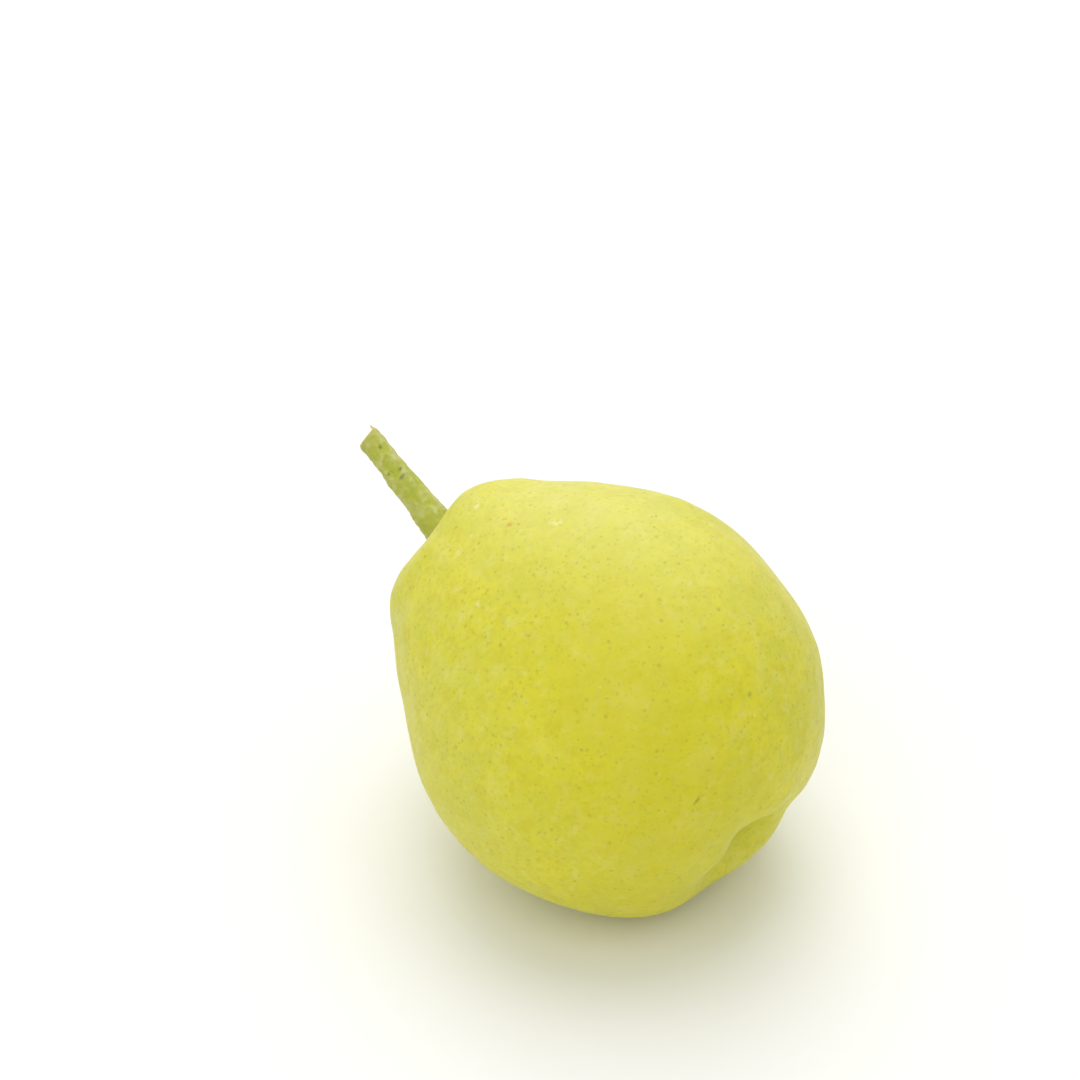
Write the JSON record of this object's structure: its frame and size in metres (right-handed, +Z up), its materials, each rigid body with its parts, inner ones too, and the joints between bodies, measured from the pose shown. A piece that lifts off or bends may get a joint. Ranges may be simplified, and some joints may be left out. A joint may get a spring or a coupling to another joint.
{
  "type": "pear",
  "caption": "Small round pear lying on its side on a small flat spot, with pale yellow-green dotted skin, a cut green stem and a dried calyx in its blossom basin.",
  "frame": {"origin": "On the surface the pear rests on, under the middle of the whole pear's box.", "axes": "+Z up, +X towards the blossom end, with the stem rising towards -X, and +Y across the pear."},
  "size_m": [0.0912, 0.0622, 0.0624],
  "materials": {
    "skin": "fresh pear skin, yellow-green with fine darker dots, satin natural wax",
    "stem": "green fleshy stem, matt, with pale ridges and scars",
    "calyx": "dried brown sepals, matt and crumpled"
  },
  "bodies": {
    "root": {"fruit": "skin", "stem": "stem", "calyx": "calyx"}
  },
  "joints": []
}
